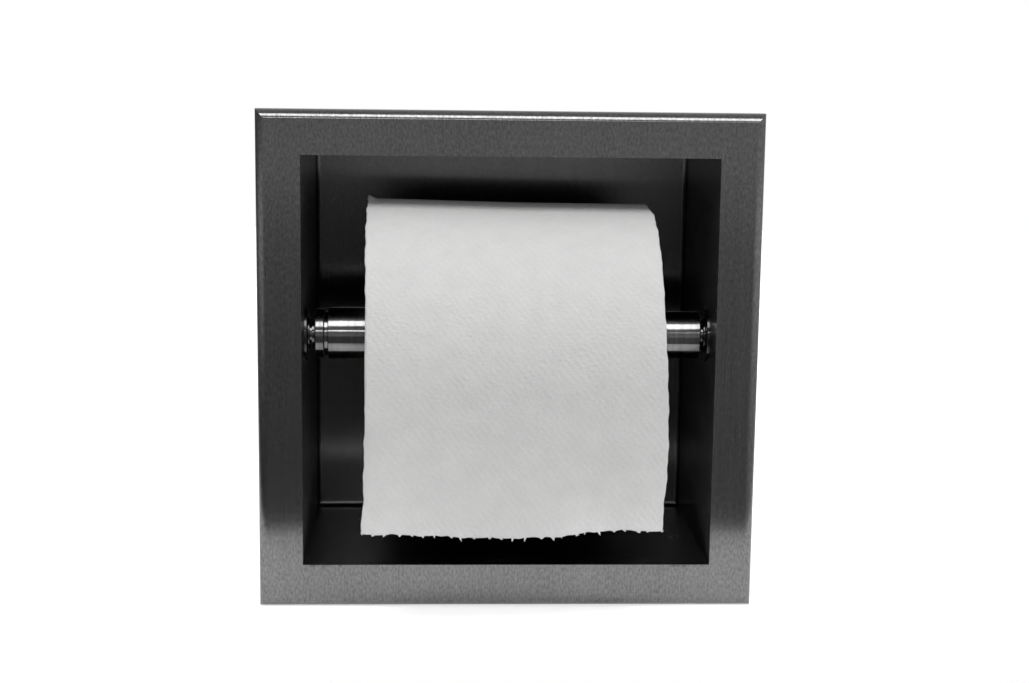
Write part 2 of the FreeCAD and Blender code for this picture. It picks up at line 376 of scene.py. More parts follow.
@dataclass(frozen=True)
class BrushedSteel:
    """Sheet steel brushed in straight upright lines, with faint handling marks."""

    name: str
    color: tuple[float, float, float]
    roughness: float = 0.25
    anisotropy: float = 1.0
    contrast: float = 0.10
    smudge: float = 0.02
    weld_marks: bool = False
    line_scale: float = 2600.0
    broad_scale: float = 420.0
    opening_low: float = -66.2 * MM
    mark_x: float = 58.5 * MM
    mark_half: float = 5.0 * MM

    def build(self) -> Material:
        """Make the material.

        Returns:
            The material.
        """
        material, sh, surface = blank_material(self.name)
        normal = sh.node("ShaderNodeNewGeometry").outputs["True Normal"]
        level = sh.math("GREATER_THAN", sh.math("ABSOLUTE", sh.axes(normal)[2]), 0.7)
        lines = self.streaks(sh, level, self.line_scale, 0.012, 4.0, 0.65)
        broad = self.streaks(sh, level, self.broad_scale, 0.02, 3.0, 0.5)
        marks = sh.noise(sh.object_point(), 38.0, 4.0, 0.6)
        spots = sh.noise(sh.object_point(move=(0.3, 0.1, 0.7)), 160.0, 2.0, 0.5)
        smudges = sh.math("MULTIPLY", sh.ramp(marks, 0.52, 0.75), sh.ramp(spots, 0.35, 0.65))
        grit = sh.noise(sh.object_point((1.0, 1.0, 0.45)), 1500.0, 3.0, 0.7)
        faint, strong = self.contrast * 0.5, self.contrast * 4.2
        tone = sh.spread(lines, 0.5 - faint, 0.5 + faint)
        for layer, swing in ((broad, faint), (grit, strong), (marks, faint)):
            tone = sh.math("ADD", tone, sh.spread(layer, -swing, swing))
        if self.weld_marks:
            tone = sh.math("SUBTRACT", tone, self.marks_by_the_opening(sh))
        sh.feed(surface.inputs["Base Color"], sh.tinted(tone, self.color, 0.6, 1.4))
        rough = sh.math("ADD", sh.spread(lines, self.roughness - 0.02, self.roughness + 0.02),
                        sh.math("MULTIPLY", smudges, self.smudge))
        sh.feed(surface.inputs["Roughness"], rough)
        across = sh.vector_math("CROSS_PRODUCT", normal, (0.0, 0.0, 1.0))
        tangent = sh.vector_math("NORMALIZE", sh.vector_math("ADD", across, (0.001, 0, 0)))
        sh.feed(surface.inputs["Tangent"], tangent)
        set_inputs(surface, Metallic=1.0, Anisotropic=self.anisotropy)
        return material

    def streaks(self, sh: Shader, level: Socket, scale: float, stretch: float, detail: float,
                roughness: float) -> Socket:
        """Noise drawn out along Z on upright faces, and along Y on level ones.

        Args:
            sh: the material's node wrapper.
            level: 1 on level faces.
            scale: how fine the noise is.
            stretch: its scale along the streaks.
            detail: how many layers.
            roughness: how strong its fine layers are.

        Returns:
            The value's socket.
        """
        upright = sh.noise(sh.object_point((1.0, 1.0, stretch)), scale, detail, roughness)
        inward = sh.noise(sh.object_point((1.0, stretch, 1.0)), scale, detail, roughness)
        return sh.mix_number(level, upright, inward)

    def marks_by_the_opening(self, sh: Shader) -> Socket:
        """Small dark tack-weld marks at the two lower corners of the opening.

        Args:
            sh: the material's node wrapper.

        Returns:
            How dark the mark is, from 0 to 1.
        """
        x, _, z = sh.axes(sh.object_point())
        fade = 0.5 * MM
        height = sh.math("ABSOLUTE", sh.math("SUBTRACT", z, self.opening_low))
        near_edge = sh.ramp(height, 0.2 * MM, fade, 1.0, 0.0)
        reach = sh.math("ABSOLUTE", sh.math("SUBTRACT", sh.math("ABSOLUTE", x), self.mark_x))
        beside = sh.ramp(reach, self.mark_half - fade, self.mark_half + fade, 1.0, 0.0)
        patchy = sh.ramp(sh.noise(sh.object_point(), 900.0, 2.0), 0.46, 0.54)
        return sh.math("MULTIPLY", sh.math("MULTIPLY", near_edge, beside), patchy)


@dataclass(frozen=True)
class TurnedSteel:
    """Bright steel with fine lines around the roller's axis and dull handling marks."""

    name: str
    color: tuple[float, float, float]
    roughness: float = 0.18
    anisotropy: float = 1.0
    line_scale: float = 2400.0
    scuff: float = 0.08

    def build(self) -> Material:
        """Make the material.

        Returns:
            The material.
        """
        material, sh, surface = blank_material(self.name)
        lines = sh.noise(sh.object_point((1.0, 0.02, 0.02)), self.line_scale, 4.0, 0.6)
        bands = sh.noise(sh.object_point((1.0, 0.03, 0.03)), 520.0, 3.0)
        marks = sh.noise(sh.object_point(), 90.0, 4.0, 0.6)
        sh.feed(surface.inputs["Base Color"], sh.tinted(sh.spread(bands), self.color, 0.8, 1.15))
        rough = sh.math("ADD", sh.spread(lines, self.roughness - 0.04, self.roughness + 0.05),
                        sh.math("MULTIPLY", sh.ramp(marks, 0.52, 0.72), self.scuff))
        sh.feed(surface.inputs["Roughness"], rough)
        sh.feed(surface.inputs["Tangent"], sh.vector_math("NORMALIZE", (1.0, 0.0, 0.0)))
        sh.feed(surface.inputs["Normal"], sh.bump(lines, 0.05, 0.00001))
        set_inputs(surface, Metallic=1.0, Anisotropic=self.anisotropy)
        return material


@dataclass(frozen=True)
class ZincPlate:
    """Bright zinc plate: soft bluish clouds and small spangles."""

    name: str
    color: tuple[float, float, float]
    roughness: float = 0.34

    def build(self) -> Material:
        """Make the material.

        Returns:
            The material.
        """
        material, sh, surface = blank_material(self.name)
        clouds = sh.noise(sh.object_point(), 55.0, 4.0)
        cells = sh.node("ShaderNodeTexVoronoi")
        sh.link(sh.object_point(), cells.inputs["Vector"])
        cells.inputs["Scale"].default_value = 420.0
        grey = sh.math("MULTIPLY", sh.spread(clouds), 0.7)
        sh.feed(surface.inputs["Base Color"], sh.tinted(grey, self.color, 0.8, 1.2))
        spangle = sh.ramp(cells.outputs["Distance"], 0.0, 0.8, self.roughness - 0.06, self.roughness + 0.08)
        sh.feed(surface.inputs["Roughness"], spangle)
        sh.feed(surface.inputs["Normal"], sh.bump(clouds, 0.12, 0.0002))
        set_inputs(surface, Metallic=1.0)
        return material


@dataclass(frozen=True)
class SpringWire:
    """Drawn steel wire, dark and slightly oiled."""

    name: str
    color: tuple[float, float, float]

    def build(self) -> Material:
        """Make the material.

        Returns:
            The material.
        """
        material, sh, surface = blank_material(self.name)
        clouds = sh.noise(sh.object_point(), 300.0, 3.0)
        sh.feed(surface.inputs["Base Color"], sh.tinted(clouds, self.color, 1.0, 1.3))
        sh.feed(surface.inputs["Roughness"], sh.spread(clouds, 0.25, 0.4))
        set_inputs(surface, Metallic=1.0)
        return material


@dataclass(frozen=True)
class Tissue:
    """Soft white tissue: short fibres, a slight mottle and, on a flat map, embossed dimples."""

    name: str
    color: tuple[float, float, float]
    embossed: bool
    dimple_u: float = 2.4 * MM
    dimple_v: float = 1.5 * MM

    def build(self) -> Material:
        """Make the material.

        Returns:
            The material.
        """
        material, sh, surface = blank_material(self.name)
        fibre = sh.noise(sh.object_point(), 1900.0, 5.0, 0.7)
        mottle = sh.noise(sh.object_point(), 170.0, 3.0)
        shade = sh.math("MULTIPLY_ADD", fibre, 0.6, sh.math("MULTIPLY", mottle, 0.5))
        sh.feed(surface.inputs["Base Color"], sh.tinted(sh.ramp(shade, 0.35, 0.75), self.color, 0.93, 1.03))
        sh.feed(surface.inputs["Roughness"], sh.spread(fibre, 0.86, 0.98))
        normal = sh.bump(fibre, 0.3, 0.00014)
        if self.embossed:
            creases = sh.noise(sh.object_point((1.0, 1.3, 1.3)), 850.0, 2.0, 0.5)
            normal = sh.bump(creases, 0.5, 0.0005, normal)
            normal = sh.bump(self.dimples(sh), 0.12, 0.00014, normal)
        sh.feed(surface.inputs["Normal"], normal)
        set_inputs(surface, Sheen_Weight=0.15, Sheen_Roughness=0.6, Specular_IOR_Level=0.25)
        return material

    def dimples(self, sh: Shader) -> Socket:
        """Staggered dimples as the product of two waves on the flat map.

        Args:
            sh: the material's node wrapper.

        Returns:
            The height socket.
        """
        u, v, _ = sh.axes(sh.node("ShaderNodeUVMap", uv_map=FLAT_MAP).outputs[0])
        across = sh.math("SINE", sh.math("MULTIPLY", u, 2.0 * math.pi / self.dimple_u))
        along = sh.math("SINE", sh.math("MULTIPLY", v, math.pi / self.dimple_v))
        return sh.math("MULTIPLY", across, along)


@dataclass(frozen=True)
class WoundEdge:
    """Tissue seen on a roll's ends, where thin turns make rings about the roll's axis."""

    name: str
    color: tuple[float, float, float]
    center_y: float
    center_z: float
    turn: float = 0.42 * MM

    def build(self) -> Material:
        """Make the material.

        Returns:
            The material.
        """
        material, sh, surface = blank_material(self.name)
        _, y, z = sh.axes(sh.object_point(move=(0.0, -self.center_y, -self.center_z)))
        radius = sh.math("SQRT", sh.math("ADD", sh.math("POWER", y, 2.0), sh.math("POWER", z, 2.0)))
        wander = sh.noise(sh.object_point(), 60.0, 2.0)
        phase = sh.math("ADD", sh.math("DIVIDE", radius, self.turn), sh.math("MULTIPLY", wander, 5.0))
        rings = sh.math("SINE", sh.math("MULTIPLY", phase, 2.0 * math.pi))
        fibre = sh.noise(sh.object_point(), 1500.0, 4.0, 0.7)
        shade = sh.math("MULTIPLY_ADD", rings, 0.3, fibre)
        sh.feed(surface.inputs["Base Color"], sh.tinted(sh.ramp(shade, 0.15, 0.75), self.color, 0.78, 1.02))
        sh.feed(surface.inputs["Normal"], sh.bump(shade, 0.4, 0.00015))
        set_inputs(surface, Roughness=0.95, Sheen_Weight=0.1, Specular_IOR_Level=0.2)
        return material


@dataclass(frozen=True)
class CoreBoard:
    """Grey-brown board wound in a spiral strip, with a dark seam and loose fibres."""

    name: str
    color: tuple[float, float, float]
    center_y: float
    center_z: float
    strip: float = 42 * MM

    def build(self) -> Material:
        """Make the material.

        Returns:
            The material.
        """
        material, sh, surface = blank_material(self.name)
        x, y, z = sh.axes(sh.object_point(move=(0.0, -self.center_y, -self.center_z)))
        angle = sh.math("DIVIDE", sh.math("ARCTAN2", z, y), 2.0 * math.pi)
        turn = sh.math("FRACT", sh.math("ADD", sh.math("DIVIDE", x, self.strip), angle))
        seam = sh.ramp(sh.math("ABSOLUTE", sh.math("SUBTRACT", turn, 0.5)), 0.0, 0.012)
        fibre = sh.noise(sh.object_point((0.35, 1.0, 1.0)), 900.0, 5.0, 0.7)
        flecks = sh.ramp(sh.noise(sh.object_point(), 700.0, 2.0), 0.62, 0.7)
        shade = sh.math("MULTIPLY", sh.math("SUBTRACT", fibre, sh.math("MULTIPLY", flecks, 0.3)), seam)
        sh.feed(surface.inputs["Base Color"], sh.tinted(sh.ramp(shade, 0.2, 0.7), self.color, 0.72, 1.12))
        sh.feed(surface.inputs["Normal"], sh.bump(shade, 0.35, 0.0002))
        set_inputs(surface, Roughness=0.92, Specular_IOR_Level=0.2)
        return material


@dataclass(frozen=True)
class PaleFloor:
    """Matt pale floor."""

    name: str = "pale_floor"
    color: tuple[float, float, float] = (0.92, 0.92, 0.92)

    def build(self) -> Material:
        """Make the material.

        Returns:
            The material.
        """
        material, sh, surface = blank_material(self.name)
        mottle = sh.noise(sh.object_point(), 30.0, 2.0)
        sh.feed(surface.inputs["Base Color"], sh.tinted(mottle, self.color, 0.985, 1.0))
        set_inputs(surface, Roughness=0.9, Specular_IOR_Level=0.1)
        return material


# ---------------------------------------------------------------- meshes


Grid = list[list[Vector]]


def mesh_object(name: str, points: Sequence[Vector], faces: Sequence[Sequence[int]],
                material: Material, smooth: bool = True) -> Object:
    """A mesh object at the origin.

    Args:
        name: the piece's name.
        points: its corners, in place.
        faces: its faces as lists of point numbers.
        material: its first material.
        smooth: whether its faces are shaded smooth.

    Returns:
        The new object.
    """
    mesh = bpy.data.meshes.new(name)
    mesh.from_pydata([tuple(p) for p in points], [], [tuple(f) for f in faces])
    mesh.update()
    mesh.materials.append(material)
    mesh.polygons.foreach_set("use_smooth", [smooth] * len(mesh.polygons))
    made = bpy.data.objects.new(name, mesh)
    bpy.context.scene.collection.objects.link(made)
    return made


def sharpen(piece: Object, degrees: float) -> None:
    """Mark the edges sharper than an angle, so that smooth shading stops there."""
    piece.data.set_sharp_from_angle(angle=math.radians(degrees))


def ring_faces(count: int, steps: int) -> list[tuple[int, ...]]:
    """The faces between rings of points, the last ring joined to the first.

    Args:
        count: how many rings there are.
        steps: points around each ring.

    Returns:
        Lists of point numbers, one ring after another.
    """
    faces: list[tuple[int, ...]] = []
    for i in range(count):
        j = (i + 1) % count
        for k in range(steps):
            m = (k + 1) % steps
            faces.append((i * steps + k, i * steps + m, j * steps + m, j * steps + k))
    return faces


def lathe_x(name: str, profile: Sequence[tuple[float, float]], center: tuple[float, float],
            material: Material, steps: int = 96) -> Object:
    """Turn a closed outline about an axis along X.

    Args:
        name: the piece's name.
        profile: (x, radius) points, the last joined to the first.
        center: the axis's (y, z).
        material: the piece's material.
        steps: points around.

    Returns:
        The new object.
    """
    points: list[Vector] = []
    for x, radius in profile:
        for k in range(steps):
            angle = 2.0 * math.pi * k / steps
            across, up = radius * math.cos(angle), radius * math.sin(angle)
            points.append(Vector((x, center[0] + across, center[1] + up)))
    return mesh_object(name, points, ring_faces(len(profile), steps), material)


def run_nodes(name: str, base: bpy.types.Mesh | None, tree: NodeTree,
              values: dict[str, object]) -> Object:
    """Run a Geometry Nodes tree once and keep its result as a plain mesh.

    Args:
        name: the piece's name.
        base: the mesh that the tree starts from, or None.
        tree: the tree.
        values: its inputs by their names.

    Returns:
        The new object, with no modifier.
    """
    mesh = base or bpy.data.meshes.new(name + "_base")
    carrier = bpy.data.objects.new(name, mesh)
    bpy.context.scene.collection.objects.link(carrier)
    modifier = carrier.modifiers.new("shape", "NODES")
    modifier.node_group = tree
    for item in tree.interface.items_tree:
        if item.item_type == "SOCKET" and item.in_out == "INPUT" and item.name in values:
            modifier[item.identifier] = values[item.name]
    bpy.context.view_layer.update()
    graph = bpy.context.evaluated_depsgraph_get()
    result = bpy.data.meshes.new_from_object(carrier.evaluated_get(graph), depsgraph=graph)
    carrier.modifiers.clear()
    carrier.data = result
    result.name = name
    return carrier


class ShapeTree:
    """A Geometry Nodes tree with named inputs."""

    def __init__(self, name: str) -> None:
        """Start an empty tree with a geometry input and output.

        Args:
            name: the tree's name.
        """
        self.tree = bpy.data.node_groups.new(name, "GeometryNodeTree")
        self.tree.interface.new_socket("Geometry", in_out="INPUT", socket_type="NodeSocketGeometry")
        self.tree.interface.new_socket("Geometry", in_out="OUTPUT", socket_type="NodeSocketGeometry")
        self.source = self.tree.nodes.new("NodeGroupInput")
        self.sink = self.tree.nodes.new("NodeGroupOutput")

    def number(self, name: str, default: float, whole: bool = False) -> Socket:
        """Add a named number input and return its socket.

        Args:
            name: the input's name.
            default: its value when none is set.
            whole: whether it is a whole number.

        Returns:
            Its socket.
        """
        kind = "NodeSocketInt" if whole else "NodeSocketFloat"
        item = self.tree.interface.new_socket(name, in_out="INPUT", socket_type=kind)
        item.default_value = default
        return self.source.outputs[name]

    def node(self, kind: str, inputs: dict[str | int, object] | None = None,
             **settings: object) -> bpy.types.Node:
        """Add a node, set its attributes, then link or set its inputs.

        Args:
            kind: the node's type name.
            inputs: sockets or values by input.
            settings: attributes to set on it.

        Returns:
            The new node.
        """
        made = self.tree.nodes.new(kind)
        for key, value in settings.items():
            setattr(made, key, value)
        for key, value in (inputs or {}).items():
            socket = made.inputs[key]
            if isinstance(value, Socket):
                self.tree.links.new(value, socket)
            else:
                socket.default_value = value
        return made

    def finish(self, geometry: Socket, material: Material) -> NodeTree:
        """End the tree with Realize Instances and Set Material, and return it.

        Args:
            geometry: what the tree has made.
            material: its material.

        Returns:
            The tree.
        """
        real = self.node("GeometryNodeRealizeInstances", {"Geometry": geometry})
        dressed = self.node("GeometryNodeSetMaterial", {"Geometry": real.outputs[0], "Material": material})
        self.tree.links.new(dressed.outputs[0], self.sink.inputs[0])
        return self.tree


def spiral_tree(name: str, material: Material, steps_per_turn: int, sides: int) -> NodeTree:
    """A tree that sweeps a thin bar along a spiral: a spring, a thread or the turns of a roll.

    Args:
        name: the tree's name.
        material: the bar's material.
        steps_per_turn: points along one turn.
        sides: points around the bar.

    Returns:
        The tree, with inputs Turns, Start Radius, End Radius, Height and Bar Radius.
    """
    shape = ShapeTree(name)
    turns = shape.number("Turns", 10.0)
    start, end, height, bar = (shape.number(label, MM) for label in (
        "Start Radius", "End Radius", "Height", "Bar Radius"))
    spiral = shape.node("GeometryNodeCurveSpiral", {
        "Resolution": steps_per_turn, "Rotations": turns, "Start Radius": start, "End Radius": end,
        "Height": height})
    ring = shape.node("GeometryNodeCurvePrimitiveCircle", {"Resolution": sides, "Radius": bar}, mode="RADIUS")
    swept = shape.node("GeometryNodeCurveToMesh", {
        "Curve": spiral.outputs[0], "Profile Curve": ring.outputs[0], "Fill Caps": True})
    return shape.finish(swept.outputs[0], material)


def map_flat(piece: Object, flat: Sequence[tuple[float, float]]) -> None:
    """Give a piece a UV map in metres.

    Args:
        piece: the piece.
        flat: one (u, v) pair per point.
    """
    layer = piece.data.uv_layers.new(name=FLAT_MAP)
    for loop in piece.data.loops:
        layer.data[loop.index].uv = flat[loop.vertex_index]


def shade_smooth(piece: Object, degrees: float) -> None:
    """Shade a piece smooth, apart from edges sharper than an angle."""
    piece.data.polygons.foreach_set("use_smooth", [True] * len(piece.data.polygons))
    sharpen(piece, degrees)


def dress(node: str, frame: dict, material: Material) -> None:
    """Give a carried-over CAD piece its material, in every slot.

    Args:
        node: the piece's name.
        material: the material.
    """
    piece = frame["nodes"][node]
    for slot in piece.material_slots:
        slot.material = material
    LOG.info("%s: %s", node, material.name)


def keep(piece: Object, body: Body, slot: Slot, *nodes: str) -> None:
    """Attach a finished piece to what it rides on, and hide the CAD pieces that it stands for.

    Args:
        piece: the finished piece.
        body: what it rides on.
        slot: its material slot; not used.
        nodes: the CAD pieces that it stands for.
    """
    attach(piece, body.value)
    if nodes:
        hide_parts(*nodes)
    LOG.info("%s: %d faces on %s", piece.name, len(piece.data.polygons), body.value)


def smooth_step(t: float) -> float:
    """A smooth rise from 0 to 1."""
    t = min(1.0, max(0.0, t))
    return t * t * (3.0 - 2.0 * t)


# ---------------------------------------------------------------- sub-assemblies


@dataclass
class Housing:
    """The face plate, the folded pan and the two sockets."""

    plate: BrushedSteel = BrushedSteel("plate_brushed", (0.148, 0.148, 0.148), weld_marks=True)
    # The pan is the same brushed steel as the plate; its darker base colour (0.125 against 0.148) is painted
    # shade for the inside of the recess.
    pan: BrushedSteel = BrushedSteel("pan_brushed_painted_shade", (0.125, 0.125, 0.125), roughness=0.25, contrast=0.05)
    bright: TurnedSteel = TurnedSteel("socket_turned", (0.09, 0.09, 0.09))
    zinc: ZincPlate = ZincPlate("washer_zinc", (0.55, 0.56, 0.57))

    def build(self, frame: dict) -> None:
        """Dress the carried-over pieces.
        """
        dress("face_plate", frame, self.plate.build())
        dress("recess_box", frame, self.pan.build())
        bright = self.bright.build()
        for node in ("left_socket", "right_socket"):
            dress(node, frame, bright)
        zinc = self.zinc.build()
        for node in ("socket_lock_washers", "clamp_screw_washers"):
            dress(node, frame, zinc)


@dataclass
class Spindle:
    """The telescoping roller."""

    tube: TurnedSteel = TurnedSteel("roller_bright", (0.185, 0.185, 0.185))
    turned: TurnedSteel = TurnedSteel("roller_end_turned", (0.18, 0.18, 0.18), roughness=0.2)
    wire: SpringWire = SpringWire("spring_wire", (0.30, 0.30, 0.31))
    wire_d: float = 1.0 * MM
    spring_turns: float = 15.0
    steps_per_turn: int = 28

    def build(self, frame: dict) -> None:
        """Dress the carried-over pieces.
        """
        tube = self.tube.build()
        for node in ("outer_tube", "inner_tube"):
            dress(node, frame, tube)
        turned = self.turned.build()
        for node in ("left_end_cap", "left_end_pin", "stop_rivet", "right_end_plug", "right_end_pin"):
            dress(node, frame, turned)
        self.build_spring(self.wire.build())

    def build_spring(self, metal: Material) -> None:
        """Replace the spring with a coil that fills its place.

        Args:
            metal: the wire's material.
        """
        low, high = (Vector(corner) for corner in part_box("spindle_spring"))
        middle = (low + high) / 2.0
        wire_r = self.wire_d / 2.0
        coil_r = (high.z - low.z) / 2.0 - wire_r
        length = high.x - low.x - self.wire_d
        tree = spiral_tree("spring_coil", metal, self.steps_per_turn, 10)
        coil = run_nodes("spring_coil", None, tree, {
            "Turns": self.spring_turns, "Start Radius": coil_r, "End Radius": coil_r, "Height": length,
            "Bar Radius": wire_r})
        along_x = Matrix.Rotation(math.pi / 2.0, 4, "Y")
        place = Matrix.Translation((low.x + wire_r, middle.y, middle.z)) @ along_x
        coil.data.transform(place)
        shade_smooth(coil, 50.0)
        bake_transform(coil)
        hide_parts("spindle_spring")
        LOG.info("%s: %d faces across the two halves", coil.name, len(coil.data.polygons))


@dataclass
class WallClamp:
    """The strap, its weld nuts and the two threaded screws."""

    pitch: float = 0.7 * MM
    core_r: float = 1.72 * MM
    ridge: float = 0.28 * MM
    steps_per_turn: int = 20
    head_height: float = 2.9 * MM
    dome: float = 1.5 * MM
    neck: float = 0.8 * MM
    edge: float = 0.15 * MM
    cross_wide: float = 4.4 * MM
    cross_narrow: float = 0.9 * MM
    cross_deep: float = 1.5 * MM
    zinc: ZincPlate = ZincPlate("clamp_zinc", (0.53, 0.54, 0.55))
    screw: ZincPlate = ZincPlate("screw_zinc", (0.58, 0.585, 0.59), roughness=0.26)

    def build(self, frame: dict) -> None:
        """Dress the strap and nuts, and replace both screws with threaded ones.
        """
        zinc = self.zinc.build()
        for node in ("clamp_strap", "clamp_nuts"):
            dress(node, frame, zinc)
        metal = self.screw.build()
        tree = spiral_tree("thread_ridge", metal, self.steps_per_turn, 3)
        for node, body in (("upper_clamp_screw", Body.UPPER_SCREW), ("lower_clamp_screw", Body.LOWER_SCREW)):
            self.build_screw(node, body, metal, tree)

    def build_screw(self, node: str, body: Body, metal: Material, tree: NodeTree) -> None:
        """One pan head screw with a cross recess and a real helical thread.

        Args:
            node: the CAD piece that it stands for.
            body: the body that it rides on.
            metal: its material.
            tree: the tree that sweeps its thread.
        """
        low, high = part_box(node)
        axis = Vector((0.0, 0.0, (low[2] + high[2]) / 2.0))
        head_r = (high[0] - low[0]) / 2.0
        head_y, tip_y = low[1], high[1]
        seat_y = head_y + self.head_height
        screw = self.turned_y(node + "_body", self.screw_profile(head_y, seat_y, tip_y, head_r), axis, metal)
        self.cut_cross(screw, head_y, axis)
        length = tip_y - seat_y - 2.0 * self.neck
        thread = run_nodes(node + "_thread", None, tree, {
            "Turns": length / self.pitch, "Start Radius": self.core_r, "End Radius": self.core_r,
            "Height": length, "Bar Radius": self.ridge})
        along_y = Matrix.Rotation(-math.pi / 2.0, 4, "X")
        place = Matrix.Translation((axis.x, seat_y + self.neck, axis.z)) @ along_y
        thread.data.transform(place)
        shade_smooth(thread, 40.0)
        keep(screw, body, Slot.ZINC, node)
        keep(thread, body, Slot.ZINC)

    def screw_profile(self, head_y: float, seat_y: float, tip_y: float,
                      head_r: float) -> list[tuple[float, float]]:
        """The screw's outline.

        Args:
            head_y: where the head's top is.
            seat_y: where the head sits on its washer.
            tip_y: where the tip ends.
            head_r: the head's radius.

        Returns:
            (y, radius) points from the head's top to the tip.
        """
        points = [(head_y, 0.0)]
        for k in range(9):
            angle = math.radians(90.0 * k / 8)
            points.append((head_y + self.dome * (1.0 - math.cos(angle)),
                           head_r - self.dome + self.dome * math.sin(angle)))
        points += [(seat_y - self.edge, head_r), (seat_y, head_r - self.edge)]
        points += [(seat_y, self.core_r + 0.25 * MM), (seat_y + self.neck, self.core_r)]
        points += [(tip_y - 0.7 * MM, self.core_r), (tip_y, self.core_r - 0.6 * MM), (tip_y, 0.0)]
        return points

    def turned_y(self, name: str, profile: list[tuple[float, float]], axis: Vector,
                 metal: Material, steps: int = 48) -> Object:
        """Turn an outline that starts and ends on an axis along Y.

        Args:
            name: the piece's name.
            profile: (y, radius) points, the first and last on the axis.
            axis: a point on the axis.
            metal: the piece's material.
            steps: points around.

        Returns:
            The new object.
        """
        points = [Vector((axis.x, profile[0][0], axis.z)), Vector((axis.x, profile[-1][0], axis.z))]
        rows = profile[1:-1]
        for y, radius in rows:
            for k in range(steps):
                angle = 2.0 * math.pi * k / steps
                points.append(Vector((axis.x + radius * math.cos(angle), y, axis.z + radius * math.sin(angle))))
        faces: list[tuple[int, ...]] = []
        last = 2 + (len(rows) - 1) * steps
        for k in range(steps):
            m = (k + 1) % steps
            faces.append((0, 2 + k, 2 + m))
            faces.append((1, last + m, last + k))
            for i in range(len(rows) - 1):
                a, b = 2 + i * steps, 2 + (i + 1) * steps
                faces.append((a + k, b + k, b + m, a + m))
        made = mesh_object(name, points, faces, metal)
        sharpen(made, 35.0)
        return made

    def cut_cross(self, piece: Object, head_y: float, axis: Vector) -> None:
        """Cut the cross recess into a screw's head.

        Args:
            piece: the screw.
            head_y: where the head's top is.
            axis: a point on the screw's axis.
        """
        sides = [(0, 1, 2, 3), (7, 6, 5, 4), (0, 4, 5, 1), (1, 5, 6, 2), (2, 6, 7, 3), (3, 7, 4, 0)]
        for wide, tall in ((self.cross_wide, self.cross_narrow), (self.cross_narrow, self.cross_wide)):
            corners = [
                Vector((axis.x + sx * wide / 2.0, head_y + dy, axis.z + sz * tall / 2.0))
                for dy in (-1.0 * MM, self.cross_deep) for sx, sz in ((-1, -1), (1, -1), (1, 1), (-1, 1))
            ]
            tool = mesh_object("cross_tool", corners, sides, piece.data.materials[0], smooth=False)
            cut = piece.modifiers.new("cross", "BOOLEAN")
            cut.operation = "DIFFERENCE"
            cut.solver = "EXACT"
            cut.object = tool
            apply_modifiers(piece)
            bpy.data.objects.remove(tool, do_unlink=True)
        sharpen(piece, 35.0)


def apply_modifiers(piece: Object) -> None:
    """Turn a piece's evaluated mesh into its plain mesh.

    Args:
        piece: the piece.
    """
    bpy.context.view_layer.update()
    graph = bpy.context.evaluated_depsgraph_get()
    result = bpy.data.meshes.new_from_object(piece.evaluated_get(graph), depsgraph=graph)
    piece.modifiers.clear()
    old = piece.data
    piece.data = result
    bpy.data.meshes.remove(old)


